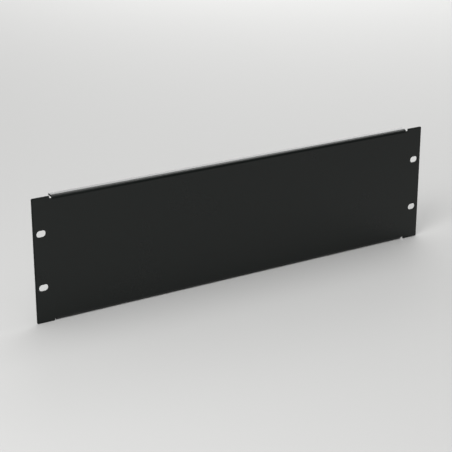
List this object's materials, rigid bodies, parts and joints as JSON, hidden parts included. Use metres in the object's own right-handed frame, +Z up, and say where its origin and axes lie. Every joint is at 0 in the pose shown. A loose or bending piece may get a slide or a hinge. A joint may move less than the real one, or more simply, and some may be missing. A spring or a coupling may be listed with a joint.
{
  "type": "rack blanking panel",
  "caption": "Flat folded steel panel that closes an empty space in the front of an equipment rack, with slotted ears and stiffening flanges.",
  "frame": {"origin": "middle of the four fixing slots, in the plane of the ears' rear faces, which lie on the rack's rails", "axes": "+X to the right along the panel seen from the front, +Y to the rear, into the rack, +Z up"},
  "size_m": [0.4826, 0.009, 0.1324],
  "materials": {
    "powder_coat": "satin black powder coat on steel"
  },
  "bodies": {
    "root": {"blanking_panel": "powder_coat"}
  },
  "joints": []
}
